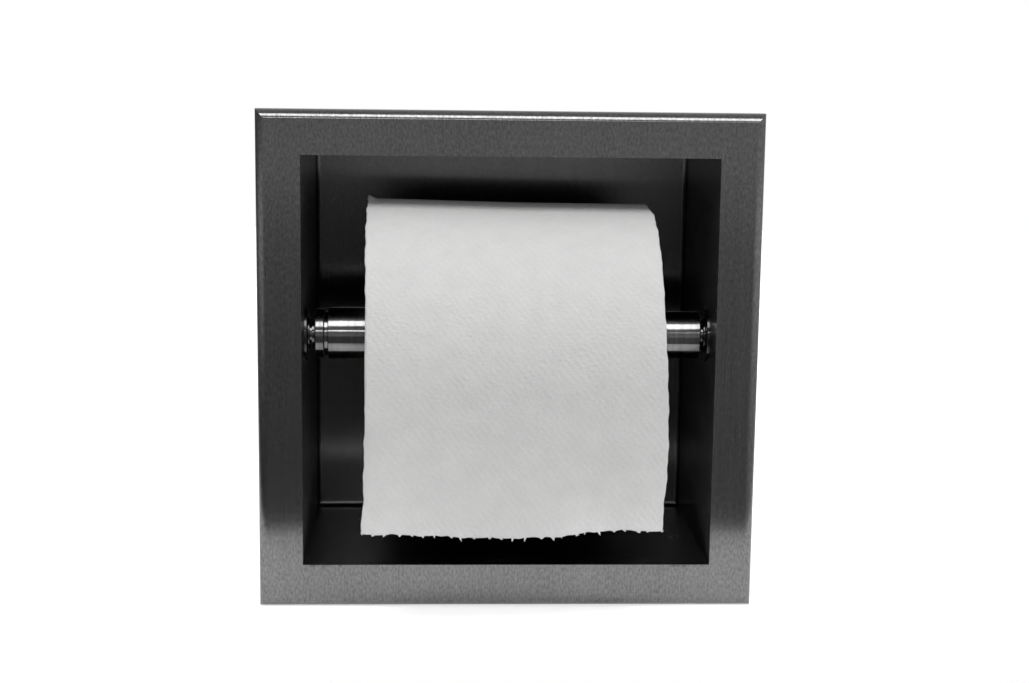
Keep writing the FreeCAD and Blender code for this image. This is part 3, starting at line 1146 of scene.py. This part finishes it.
@dataclass
class PaperRoll:
    """The wound paper on its board core."""

    cone: float = 0.7 * MM
    layer: float = 0.85 * MM
    ridge: float = 0.16 * MM
    steps: int = 160
    rings: int = 46
    columns: int = 48
    left_inset: float = 1.1 * MM
    right_inset: float = 0.5 * MM
    dish: float = 0.35 * MM
    seed: int = 7
    paper: tuple[float, float, float] = (0.84, 0.84, 0.835)

    def build(self) -> None:
        """Make the winding, the spiral edges at its ends, and the core."""
        low, high = (Vector(v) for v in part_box("paper_roll"))
        core_low, core_high = (Vector(v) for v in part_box("roll_core"))
        center = ((low.y + high.y) / 2.0, (low.z + high.z) / 2.0)
        outer_r = (high.z - low.z) / 2.0
        core_r = (core_high.z - core_low.z) / 2.0
        edge = WoundEdge("wound_edge", self.paper, center[0], center[1]).build()
        soft = Tissue("wound_tissue", self.paper, embossed=True).build()
        self.build_winding(low, high, center, outer_r, core_r, soft, edge)
        self.build_core(core_low, core_high, center, core_r)

    def radius(self, x: float, angle: float, outer_r: float, x0: float, x1: float) -> float:
        """The winding's outer radius, slightly smaller to the right and never quite round.

        Args:
            x: where along the axis.
            angle: the turn about it.
            outer_r: the roll's radius.
            x0: the winding's left end.
            x1: its right end.

        Returns:
            The radius there.
        """
        along = (x - x0) / (x1 - x0)
        soft = 0.10 * MM * math.sin(2.0 * angle + 0.7) + 0.06 * MM * math.sin(5.0 * angle + 9.0 * along)
        return outer_r - 0.22 * MM - self.cone * along + soft

    def build_winding(self, low: Vector, high: Vector, center: tuple[float, float], outer_r: float,
                      core_r: float, soft: Material, edge: Material) -> None:
        """The roll as one closed ring of paper, its ends dished by the winding.

        Args:
            low: its lowest corner.
            high: its highest corner.
            center: the axis's (y, z).
            outer_r: the roll's radius.
            core_r: the core's radius.
            soft: the material of the outside.
            edge: the material of the ends.
        """
        x0, x1 = low.x + self.left_inset, high.x - self.right_inset
        profile = self.winding_outline(x0, x1)
        points: list[Vector] = []
        flat: list[tuple[float, float]] = []
        for x, t, _ in profile:
            for k in range(self.steps):
                angle = 2.0 * math.pi * k / self.steps
                full = self.radius(x, angle, outer_r, x0, x1)
                r = core_r + (full - core_r) * t if t < 1.0 else full
                points.append(Vector((x, center[0] + r * math.cos(angle), center[1] + r * math.sin(angle))))
                flat.append((x - x0, angle * outer_r))
        after = profile[1:] + profile[:1]
        bands = [0 if here[2] and there[2] else 1 for here, there in zip(profile, after)]
        slots = [band for band in bands for _ in range(self.steps)]
        roll = mesh_object("wound_paper", points, ring_faces(len(profile), self.steps), soft)
        roll.data.materials.append(edge)
        roll.data.polygons.foreach_set("material_index", slots)
        map_flat(roll, flat)
        sharpen(roll, 50.0)
        turn_outward(roll)
        keep(roll, Body.ROLL, Slot.WOUND, "paper_roll")
        self.build_layers((x0, x1), center, outer_r, core_r, edge)

    def winding_outline(self, x0: float, x1: float) -> list[tuple[float, float, bool]]:
        """The winding's outline: up its left end, along the outside and down its right end.

        Args:
            x0: its left end.
            x1: its right end.

        Returns:
            For each point its x, its share of the way from core to outside, and whether it is outside.
        """
        wind = random.Random(self.seed)
        drift = [wind.uniform(-0.14, 0.14) * MM for _ in range(self.rings)]
        profile: list[tuple[float, float, bool]] = []
        for i in range(self.rings):
            t = i / (self.rings - 1)
            profile.append((x0 + 0.2 * MM + self.dish * math.sin(math.pi * t) + abs(drift[i]), t, False))
        for j in range(self.columns + 1):
            profile.append((x0 + (x1 - x0) * (0.004 + 0.992 * j / self.columns), 1.0, True))
        for i in range(self.rings):
            t = 1.0 - i / (self.rings - 1)
            profile.append((x1 - 0.2 * MM - self.dish * math.sin(math.pi * t) - abs(drift[self.rings - 1 - i]),
                            t, False))
        return profile

    def build_layers(self, ends: tuple[float, float], center: tuple[float, float], outer_r: float,
                     core_r: float, edge: Material) -> None:
        """The spiral edges of the paper's turns on both ends of the roll.

        Args:
            ends: the winding's left and right x.
            center: the axis's (y, z).
            outer_r: the roll's radius.
            core_r: the core's radius.
            edge: the material of the ends.
        """
        tree = spiral_tree("wound_layers", edge, 60, 4)
        depth = 0.42 * MM
        for side, x in (("left", ends[0] + depth), ("right", ends[1] - depth)):
            turns = (outer_r - core_r - 2.2 * MM) / self.layer
            spiral = run_nodes(f"{side}_end_layers", None, tree, {
                "Turns": turns, "Start Radius": core_r + 0.8 * MM, "End Radius": outer_r - 1.4 * MM,
                "Height": 0.0, "Bar Radius": self.ridge})
            place = Matrix.Translation((x, center[0], center[1])) @ Matrix.Rotation(math.pi / 2.0, 4, "Y")
            spiral.data.transform(place)
            keep(spiral, Body.ROLL, Slot.WOUND)

    def build_core(self, low: Vector, high: Vector, center: tuple[float, float], outer_r: float) -> None:
        """The board tube, with slightly fuzzy rounded rims.

        Args:
            low: its lowest corner.
            high: its highest corner.
            center: the axis's (y, z).
            outer_r: its radius.
        """
        wall = 1.2 * MM
        rim = 0.25 * MM
        inner_r = outer_r - wall
        x0, x1 = low.x, high.x
        profile = [(x0, inner_r + rim), (x0, outer_r - rim), (x0 + rim, outer_r)]
        profile += [(x1 - rim, outer_r), (x1, outer_r - rim), (x1, inner_r + rim), (x1 - rim, inner_r)]
        profile += [(x1 - (x1 - x0) * k / 12.0, inner_r) for k in range(1, 12)]
        profile += [(x0 + rim, inner_r)]
        board = CoreBoard("core_board", (0.50, 0.44, 0.36), center[0], center[1]).build()
        core = lathe_x("board_core", profile, center, board, steps=120)
        turn_outward(core)
        sharpen(core, 50.0)
        keep(core, Body.ROLL, Slot.BOARD, "roll_core")


def turn_outward(piece: Object) -> None:
    """Make a closed piece's faces point outwards.

    Args:
        piece: the piece.
    """
    work = bmesh.new()
    work.from_mesh(piece.data)
    bmesh.ops.recalc_face_normals(work, faces=work.faces[:])
    work.to_mesh(piece.data)
    work.free()


@dataclass
class LooseSheet:
    """The loose end of the paper: over the roll's front quarter, then down to a torn edge."""

    thickness: float = 0.22 * MM
    start_deg: float = -32.0
    step_u: float = 0.6 * MM
    step_v: float = 0.5 * MM
    dimple_u: float = 2.4 * MM
    dimple_v: float = 1.5 * MM
    dimple: float = 0.035 * MM
    nib_gap: float = 3.8 * MM
    paper: tuple[float, float, float] = (0.79, 0.79, 0.785)
    seed: int = 11
    edge_points: list[Vector] = field(default_factory=list)

    def build(self) -> None:
        low, high = (Vector(v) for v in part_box("hanging_sheet"))
        roll_low, roll_high = (Vector(v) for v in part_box("paper_roll"))
        self.x0 = low.x
        self.width = high.x - low.x
        self.axis_y = (roll_low.y + roll_high.y) / 2.0
        self.axis_z = (roll_low.z + roll_high.z) / 2.0
        self.roll_r = (roll_high.z - roll_low.z) / 2.0
        self.lay_r = self.roll_r + 0.12 * MM
        self.drop = self.axis_z - low.z
        self.arc = math.radians(90.0 - self.start_deg) * self.lay_r
        self.length = self.arc + self.drop
        tissue = Tissue("loose_tissue", self.paper, embossed=True).build()
        sheet = self.build_sheet(tissue)
        nibs = self.build_nibs(tissue)
        keep(sheet, Body.HOUSING, Slot.TISSUE, "hanging_sheet")
        keep(nibs, Body.HOUSING, Slot.TISSUE)

    def tear(self, u: float) -> float:
        """How much longer or shorter the sheet is at u, from its torn edge."""
        ragged = 0.16 * math.sin(41.0 * u) + 0.10 * math.sin(97.0 * u + 1.3) + 0.07 * math.sin(173.0 * u)
        return (ragged + 0.7 * smooth_step((u - 0.1) / 0.35) - 1.25 * smooth_step((u - 0.6) / 0.4)) * MM

    def place(self, u: float, s: float) -> Vector:
        """Where a point of the flat sheet lies.

        Args:
            u: the share of the width, from 0 at the left to 1 at the right.
            s: metres along the sheet from its upper end.

        Returns:
            The point in the row's frame.
        """
        x = self.x0 + u * self.width
        if s <= self.arc:
            angle = math.radians(self.start_deg) + s / self.lay_r
            loose = self.looseness(u, angle)
            r = self.lay_r + loose
            point = Vector((x, self.axis_y - r * math.sin(angle), self.axis_z + r * math.cos(angle)))
            point.x += self.edge_waver(u, s) + self.lean(u, point.z) + self.rounded_corner(u, angle)
            return point
        down = s - self.arc
        t = down / self.drop
        depth = self.axis_y - self.lay_r - self.looseness(u, math.pi / 2.0)
        y = depth + self.sway(u, t)
        z = self.axis_z - down
        return Vector((x + self.edge_waver(u, s) + self.lean(u, z), y, z))

    def looseness(self, u: float, angle: float) -> float:
        """How far the sheet stands off the roll: more at the left of the top, and near the front.

        Args:
            u: the share of the width, from 0 at the left to 1 at the right.
            angle: the turn about the roll from its top.

        Returns:
            The distance in metres.
        """
        top = math.exp(-((angle - 0.1) / 0.5) ** 2)
        left = 1.0 - smooth_step(u / 0.6)
        cone = 0.55 * MM * (1.0 - u)
        peak = 1.3 * MM * math.exp(-(u / 0.018) ** 2) * math.exp(-((angle - 0.02) / 0.10) ** 2)
        front = 0.25 * MM * smooth_step(angle / (math.pi / 2.0))
        rise = smooth_step((angle - math.radians(self.start_deg)) / 0.35)
        return (0.75 * MM * top * left + cone * top + peak + front) * rise

    def sway(self, u: float, t: float) -> float:
        """How far back the hanging part swings, with the torn edge in soft waves.

        Args:
            u: the share of the width, from 0 at the left to 1 at the right.
            t: the share of the drop, from 0 to 1.

        Returns:
            The distance in metres.
        """
        wave = 4.8 * math.exp(-((u - 0.82) / 0.13) ** 2) - 1.2 * math.exp(-((u - 0.45) / 0.22) ** 2)
        left_curl = 1.2 * math.exp(-(u / 0.035) ** 2) * smooth_step((t - 0.15) / 0.4)
        left_curl += 2.6 * math.exp(-(u / 0.012) ** 2) * smooth_step((t - 0.2) / 0.25)
        left_curl *= 1.0 - 0.4 * smooth_step((t - 0.8) / 0.2)
        right_curl = 1.6 * math.exp(-((1.0 - u) / 0.06) ** 2) * smooth_step((t - 0.4) / 0.5)
        slack = 0.5 * math.sin(math.pi * t) * math.sin(7.0 * u + 0.5)
        return (wave * smooth_step((t - 0.25) / 0.75) ** 1.6 + left_curl + right_curl + slack * 0.6) * MM

    def lean(self, u: float, z: float) -> float:
        """How far the sheet's two long edges wander inwards and outwards at a height.

        Args:
            u: the share of the width, from 0 at the left to 1 at the right.
            z: the height.

        Returns:
            The move along X in metres.
        """
        level = z / MM
        left = 0.7 + 0.8 * smooth_step((45.0 - level) / 30.0) - 0.65 * smooth_step(-level / 40.0)
        left -= 0.6 * smooth_step((-38.0 - level) / 8.0)
        right = 1.3 * smooth_step((28.0 - level) / 50.0) - 0.95 - 0.85 * smooth_step((-24.0 - level) / 22.0)
        return (left * (1.0 - u) + right * u) * MM

    def rounded_corner(self, u: float, angle: float) -> float:
        """How the right edge draws in where the sheet comes over the top."""
        return -1.1 * MM * smooth_step((u - 0.9) / 0.1) * math.exp(-((angle - 0.05) / 0.16) ** 2)

    def edge_waver(self, u: float, s: float) -> float:
        """The slight unevenness of the sheet's two long edges."""
        near = math.exp(-(u / 0.02) ** 2) - math.exp(-((1.0 - u) / 0.02) ** 2)
        return 0.12 * MM * near * (math.sin(s / (1.9 * MM)) + 0.6 * math.sin(s / (0.83 * MM) + 1.0))

    def emboss(self, u: float, s: float) -> float:
        """The height of the staggered dimples at a point of the flat sheet.

        Args:
            u: the share of the width, from 0 at the left to 1 at the right.
            s: metres along the sheet.

        Returns:
            The height in metres.
        """
        across = math.sin(2.0 * math.pi * u * self.width / self.dimple_u)
        along = math.sin(math.pi * s / self.dimple_v)
        return self.dimple * across * along

    def build_sheet(self, tissue: Material) -> Object:
        """The sheet as a fine grid with a little thickness, and a flat map in metres.

        Args:
            tissue: its material.

        Returns:
            The new piece.
        """
        columns = round(self.width / self.step_u)
        rows = round(self.length / self.step_v)
        outside: Grid = []
        for i in range(columns + 1):
            u = i / columns
            reach = self.length + self.tear(u)
            outside.append([self.place(u, reach * j / rows) for j in range(rows + 1)])
        self.edge_points = [column[-1].copy() for column in outside]
        normals = [[self.grid_normal(outside, i, j) for j in range(rows + 1)] for i in range(columns + 1)]
        points: list[Vector] = []
        flat: list[tuple[float, float]] = []
        for layer in (1.0, 0.0):
            for i in range(columns + 1):
                u = i / columns
                for j in range(rows + 1):
                    s = self.length * j / rows
                    lift = self.thickness * layer + self.emboss(u, s)
                    points.append(outside[i][j] + normals[i][j] * lift)
                    flat.append((u * self.width, s))
        faces = self.shell_faces(columns, rows)
        sheet = mesh_object("loose_sheet", points, faces, tissue)
        map_flat(sheet, flat)
        return sheet

    def grid_normal(self, grid: Grid, i: int, j: int) -> Vector:
        """The outward normal of a grid of points at one of them.

        Args:
            grid: columns of points.
            i: the column.
            j: the row.

        Returns:
            The normal, one long.
        """
        columns, rows = len(grid) - 1, len(grid[0]) - 1
        across = grid[min(i + 1, columns)][j] - grid[max(i - 1, 0)][j]
        along = grid[i][min(j + 1, rows)] - grid[i][max(j - 1, 0)]
        return along.cross(across).normalized()

    def shell_faces(self, columns: int, rows: int) -> list[tuple[int, ...]]:
        """The faces of two facing grids joined around their edges.

        Args:
            columns: cells across.
            rows: cells along.

        Returns:
            Lists of point numbers.
        """
        stride = rows + 1
        under = (columns + 1) * stride
        faces: list[tuple[int, ...]] = []
        for i in range(columns):
            for j in range(rows):
                a, d = i * stride + j, (i + 1) * stride + j
                b, c = a + 1, d + 1
                faces.append((a, b, c, d))
                faces.append((under + d, under + c, under + b, under + a))
        border = [(i * stride, (i + 1) * stride) for i in range(columns)]
        border += [(columns * stride + j, columns * stride + j + 1) for j in range(rows)]
        border += [((i + 1) * stride + rows, i * stride + rows) for i in reversed(range(columns))]
        border += [(j + 1, j) for j in reversed(range(rows))]
        for a, b in border:
            faces.append((a, b, under + b, under + a))
        return faces

    def build_nibs(self, tissue: Material) -> Object:
        """The small nibs that the perforation leaves along the torn edge.

        Args:
            tissue: their material.

        Returns:
            The new piece.
        """
        edge = bpy.data.meshes.new("torn_edge_line")
        count = len(self.edge_points)
        edge.from_pydata([tuple(p) for p in self.edge_points], [(k, k + 1) for k in range(count - 1)], [])
        tree = self.nib_tree(tissue)
        nibs = run_nodes("torn_nibs", edge, tree, {
            "Gap": self.nib_gap, "Width": 1.5 * MM, "Height": 1.15 * MM, "Seed": self.seed})
        nibs.data.polygons.foreach_set("use_smooth", [False] * len(nibs.data.polygons))
        spots = (point.co for point in nibs.data.vertices)
        map_flat(nibs, [(spot.x - self.x0, self.axis_z - spot.z + self.arc) for spot in spots])
        return nibs

    def nib_tree(self, tissue: Material) -> NodeTree:
        """A tree that stands small pointed tufts along a line, each of its own size and lean.

        Args:
            tissue: their material.

        Returns:
            The tree, with inputs Gap, Width, Height and Seed.
        """
        shape = ShapeTree("torn_nibs")
        gap = shape.number("Gap", self.nib_gap)
        width = shape.number("Width", 1.5 * MM)
        height = shape.number("Height", 1.2 * MM)
        seed = shape.number("Seed", self.seed, whole=True)
        line = shape.node("GeometryNodeMeshToCurve", {"Mesh": shape.source.outputs["Geometry"]})
        spots = shape.node("GeometryNodeCurveToPoints", {
            "Curve": line.outputs[0], "Length": gap}, mode="LENGTH")
        jitter = shape.node("FunctionNodeRandomValue", {
            "Min": (-0.8 * MM, 0.0, 0.0), "Max": (0.8 * MM, 0.0, 0.25 * MM), "Seed": seed},
            data_type="FLOAT_VECTOR")
        moved = shape.node("GeometryNodeSetPosition", {
            "Geometry": spots.outputs[0], "Offset": jitter.outputs[0]})
        nib = shape.node("GeometryNodeMeshCone", {
            "Vertices": 6, "Radius Top": 0.04 * MM, "Radius Bottom": 0.5, "Depth": 1.0})
        size = shape.node("ShaderNodeCombineXYZ", {"X": width, "Y": 0.3 * MM, "Z": height})
        sized = shape.node("GeometryNodeTransform", {
            "Geometry": nib.outputs["Mesh"], "Rotation": (math.pi, 0.0, 0.0),
            "Translation": (0.0, 0.0, 0.1 * MM)})
        grown = shape.node("GeometryNodeTransform", {"Geometry": sized.outputs[0], "Scale": size.outputs[0]})
        lean = shape.node("FunctionNodeRandomValue", {
            "Min": (-0.35, -0.45, -0.3), "Max": (0.35, 0.45, 0.3), "Seed": seed}, data_type="FLOAT_VECTOR")
        stretch = shape.node("FunctionNodeRandomValue", {
            "Min": (0.45, 0.8, 0.35), "Max": (1.25, 1.1, 1.5), "Seed": seed}, data_type="FLOAT_VECTOR")
        tufts = shape.node("GeometryNodeInstanceOnPoints", {
            "Points": moved.outputs[0], "Instance": grown.outputs[0], "Rotation": lean.outputs[0],
            "Scale": stretch.outputs[0]})
        return shape.finish(tufts.outputs[0], tissue)


# ---------------------------------------------------------------- studio


@dataclass
class Studio:
    """The floor, the lights, the surroundings and the camera."""

    camera_at: tuple[float, float, float] = (-0.02436, -0.56362, 0.10023)
    look: tuple[float, float, float] = (0.04573, 0.98542, -0.16389)
    up: tuple[float, float, float] = (-0.00483, 0.16428, 0.98640)
    view_deg: float = 32.204
    floor_front: float = 0.108
    floor_side: float = 0.20
    floor_middle: float = 0.055
    floor_middle_front: float = 0.062
    floor_back: float = 1.2
    floor_half: float = 1.0
    side_tones: tuple[tuple[float, float], ...] = (
        (-1.0, 0.07), (-0.30, 0.07), (-0.25, 0.10), (-0.19, 0.20), (-0.155, 0.52), (-0.09, 1.3), (-0.06, 0.26),
        (0.0, 0.26), (0.5, 0.365), (1.0, 0.48))
    ahead_tones: tuple[tuple[float, float], ...] = (
        (-1.0, 0.13), (-0.080, 0.13), (-0.068, 0.90), (-0.058, 0.80), (-0.048, 0.48), (0.1, 0.42), (0.5, 0.365),
        (1.0, 0.48))
    right_tone: tuple[float, ...] = (1.04, 1.04, 1.04, 1.0)
    behind_tone: tuple[float, ...] = (0.68, 0.68, 0.68, 1.0)
    low_left_tone: tuple[float, ...] = (0.15, 0.15, 0.15, 1.0)

    def build(self) -> None:
        """Set up everything around the object."""
        self.build_camera()
        self.build_floor()
        self.build_world()
        self.build_lights()
        bpy.context.scene.view_settings.view_transform = "Standard"

    def build_camera(self) -> None:
        """The camera, a little above the plate's top and left of its middle, looking down at it."""
        data = bpy.data.cameras.new("camera")
        data.sensor_width = 36.0
        data.lens = data.sensor_width / 2.0 / math.tan(math.radians(self.view_deg) / 2.0)
        data.clip_start = 0.01
        camera = bpy.data.objects.new("camera", data)
        forward = Vector(self.look).normalized()
        right = forward.cross(Vector(self.up)).normalized()
        up = right.cross(forward)
        turn = Matrix((right, up, -forward)).transposed().to_4x4()
        camera.matrix_world = Matrix.Translation(self.camera_at) @ turn
        bpy.context.scene.collection.objects.link(camera)
        bpy.context.scene.camera = camera

    def build_floor(self) -> None:
        """A flat table top under the plate, with a round front that is cut back in the middle."""
        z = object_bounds()[0][2] - 0.05 * MM
        corners = []
        steps = 96
        for k in range(steps + 1):
            turn = math.radians(-180.0 + 180.0 * k / steps)
            x = self.floor_side * math.cos(turn)
            front = self.floor_front * math.sin(turn)
            if abs(x) < self.floor_middle:
                front = max(front, -self.floor_middle_front)
            corners.append(Vector((x, front, z)))
        corners += [Vector((side * self.floor_half, self.floor_back, z)) for side in (1.0, -1.0)]
        floor = mesh_object("floor", corners, [tuple(range(len(corners)))], PaleFloor().build(), smooth=False)
        floor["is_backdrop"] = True

    def build_world(self) -> None:
        """White behind the object, and a dim room for what the metal mirrors."""
        world = bpy.data.worlds.new("room")
        world.use_nodes = True
        bpy.context.scene.world = world
        sh = Shader(world.node_tree)
        direction = sh.node("ShaderNodeTexCoord").outputs["Generated"]
        x, y, z = sh.axes(direction)
        center = sh.math("MULTIPLY", sh.ramp(sh.math("ABSOLUTE", x), 0.38, 0.62, 1.0, 0.0),
                         sh.ramp(y, -0.2, 0.0, 1.0, 0.0))
        tone = sh.mix_color(center, self.height_tone(sh, z, self.side_tones),
                            self.height_tone(sh, z, self.ahead_tones))
        tone = sh.mix_color(sh.ramp(x, 0.0, 0.7, 0.0, 0.5), tone, self.right_tone)
        tone = sh.mix_color(sh.ramp(y, 0.1, 0.5), tone, self.behind_tone)
        low_left = sh.math("MULTIPLY", sh.ramp(x, -0.75, -0.35, 1.0, 0.0), sh.ramp(z, 0.05, 0.25, 1.0, 0.0))
        tone = sh.mix_color(sh.math("MULTIPLY", low_left, sh.ramp(y, -0.3, 0.2)), tone, self.low_left_tone)
        room = sh.node("ShaderNodeBackground")
        sh.link(tone, room.inputs["Color"])
        white = sh.node("ShaderNodeBackground")
        set_inputs(white, Color=(1.0, 1.0, 1.0, 1.0), Strength=1.0)
        mix = sh.node("ShaderNodeMixShader")
        sh.link(sh.node("ShaderNodeLightPath").outputs["Is Camera Ray"], mix.inputs[0])
        sh.link(room.outputs[0], mix.inputs[1])
        sh.link(white.outputs[0], mix.inputs[2])
        sh.link(mix.outputs[0], sh.node("ShaderNodeOutputWorld").inputs["Surface"])

    def height_tone(self, sh: Shader, height: Socket,
                    stops: Sequence[tuple[float, float]]) -> Socket:
        """A grey that changes with the height of the direction looked in.

        Args:
            sh: the world's node wrapper.
            height: the direction's Z.
            stops: (height, grey) pairs from -1 to 1.

        Returns:
            The colour socket.
        """
        tone = sh.node("ShaderNodeValToRGB")
        sh.link(sh.ramp(height, -1.0, 1.0), tone.inputs[0])
        ramp = tone.color_ramp
        for level, grey in stops:
            place = (level + 1.0) / 2.0
            stop = ramp.elements.new(place) if 0.0 < place < 1.0 else ramp.elements[0 if place == 0.0 else -1]
            stop.color = (grey, grey, grey, 1.0)
        return tone.outputs[0]

    def build_lights(self) -> None:
        """Two lights that the metal mirrors, a soft fill for the paper and one for the floor."""
        self.area("high_box", 51.0, 0.0, 1.15, (1.6, 0.46), 16.0, Seen.MIRRORED, roll=-13.0)
        self.area("low_strip", 19.0, -17.0, 1.3, (0.8, 0.08), 2.0, Seen.MIRRORED)
        self.area("paper_fill", 58.0, -5.0, 1.2, (0.7, 0.3), 6.2, Seen.MATT)
        self.floor_light()

    def floor_light(self) -> None:
        """An even light that reaches only the floor."""
        data = bpy.data.lights.new("floor_fill", "SUN")
        data.energy = 3.0
        data.angle = math.radians(60.0)
        light = bpy.data.objects.new("floor_fill", data)
        light.visible_glossy = False
        only_floor = bpy.data.collections.new("only_floor")
        only_floor.objects.link(bpy.data.objects["floor"])
        light.light_linking.receiver_collection = only_floor
        light.light_linking.blocker_collection = only_floor
        bpy.context.scene.collection.objects.link(light)

    def area(self, name: str, elevation: float, azimuth: float, distance: float, size: tuple[float, float],
             power: float, seen: Seen, roll: float = 0.0) -> None:
        """Add one rectangular light that points at the object.

        Args:
            name: its name.
            elevation: its height above the horizon, in degrees.
            azimuth: its turn to the right of the front, in degrees.
            distance: from the object, in metres.
            size: its width and height.
            power: in watts.
            seen: which surfaces it lights.
            roll: its turn about its own aim, in degrees.
        """
        data = bpy.data.lights.new(name, "AREA")
        data.shape = "RECTANGLE"
        data.size, data.size_y = size
        data.energy = power
        rise, turn = math.radians(elevation), math.radians(azimuth)
        level = math.cos(rise)
        where = Vector((math.sin(turn) * level, -math.cos(turn) * level, math.sin(rise))) * distance
        light = bpy.data.objects.new(name, data)
        light.location = where
        light.visible_glossy = seen is Seen.MIRRORED
        light.visible_diffuse = seen is Seen.MATT
        aim = (-where).to_track_quat("-Z", "Y") @ Quaternion((0.0, 0.0, 1.0), math.radians(roll))
        light.rotation_euler = aim.to_euler()
        bpy.context.scene.collection.objects.link(light)


def main() -> None:
    """Load the frame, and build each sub-assembly in order."""
    logging.basicConfig(level=logging.INFO, format="%(name)s: %(message)s")
    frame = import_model()
    builders: list[tuple[str, Callable[[], None]]] = [
        ("studio", lambda: Studio().build()),
        ("housing", lambda: Housing().build(frame)),
        ("spindle", lambda: Spindle().build(frame)),
        ("wall clamp", lambda: WallClamp().build(frame)),
        ("paper roll", lambda: PaperRoll().build()),
        ("loose sheet", lambda: LooseSheet().build()),
    ]
    for name, build in builders:
        LOG.info("building the %s", name)
        build()


if __name__ == "__main__":
    main()
